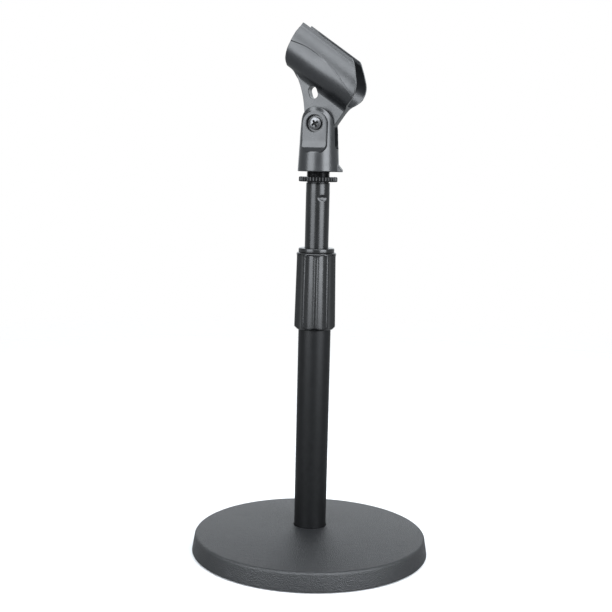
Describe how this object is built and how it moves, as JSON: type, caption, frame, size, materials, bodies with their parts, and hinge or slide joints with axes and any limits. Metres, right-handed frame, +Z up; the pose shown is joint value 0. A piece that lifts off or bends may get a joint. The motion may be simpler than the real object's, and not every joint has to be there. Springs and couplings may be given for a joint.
{
  "type": "desktop microphone stand",
  "caption": "Weighted round base with a two-part tube, twist clutch, thread, lock ring and a tilting open-top microphone clip.",
  "frame": {"origin": "centre of the base at the underside of the feet, on the tube axis", "axes": "+Z up along the tubes; +Y along the clip pivot, its screw head on the -Y side; +X to the low, mouth end of the holder"},
  "size_m": [0.1634, 0.1634, 0.36],
  "materials": {
    "crinkle_coat": "black crinkle powder coat",
    "tube_coat": "black satin",
    "gloss_coat": "black semi-gloss",
    "grip_plastic": "black satin",
    "grip_rubber": "black satin, moulded",
    "clip_plastic": "dark grey satin, moulded",
    "insert_brass": "turned",
    "seal_rubber": "matt",
    "foot_rubber": "matt",
    "stud_steel": "black satin",
    "screw_steel": "blackened steel",
    "hardware_steel": "zinc plated",
    "nylon": "satin"
  },
  "bodies": {
    "base": {"base_casting": "crinkle_coat", "base_foot_1": "foot_rubber", "base_foot_2": "foot_rubber", "base_foot_3": "foot_rubber", "base_foot_4": "foot_rubber", "base_bolt": "hardware_steel", "base_spring_washer": "hardware_steel", "base_flat_washer": "hardware_steel", "lower_tube": "tube_coat", "tube_foot_plug": "hardware_steel", "clutch_ferrule": "nylon"},
    "grip": {"clutch_collar": "grip_plastic", "clutch_grip": "grip_rubber", "wiper_ring": "seal_rubber"},
    "collet": {"clutch_collet": "nylon"},
    "mast": {"upper_tube": "gloss_coat", "guide_bush": "nylon", "thread_stud": "stud_steel"},
    "ring": {"lock_ring": "gloss_coat"},
    "clip": {"clip_base": "clip_plastic", "clip_thread_insert": "insert_brass", "friction_washer_front": "nylon", "friction_washer_rear": "nylon", "pivot_screw": "screw_steel", "pivot_nut": "hardware_steel"},
    "holder": {"clip_holder": "clip_plastic"}
  },
  "joints": [
    {"name": "grip_twist", "type": "hinge", "parent": "base", "child": "grip", "pos_m": [0, 0, 0.18], "axis": [0, 0, 1], "range_deg": [0, 270]},
    {"name": "mast_turn", "type": "hinge", "parent": "base", "child": "collet", "pos_m": [0, 0, 0.196], "axis": [0, 0, 1], "continuous": true},
    {"name": "mast_slide", "type": "slide", "parent": "collet", "child": "mast", "axis": [0, 0, 1], "range_m": [-0.034, 0.068]},
    {"name": "lock_ring_spin", "type": "hinge", "parent": "mast", "child": "ring", "pos_m": [0, 0, 0.2582], "axis": [0, 0, 1], "continuous": true},
    {"name": "clip_swivel", "type": "hinge", "parent": "mast", "child": "clip", "pos_m": [0, 0, 0.27], "axis": [0, 0, 1], "continuous": true},
    {"name": "holder_tilt", "type": "hinge", "parent": "clip", "child": "holder", "pos_m": [0, 0, 0.2948], "axis": [0, 1, 0], "range_deg": [-100, 50]}
  ]
}
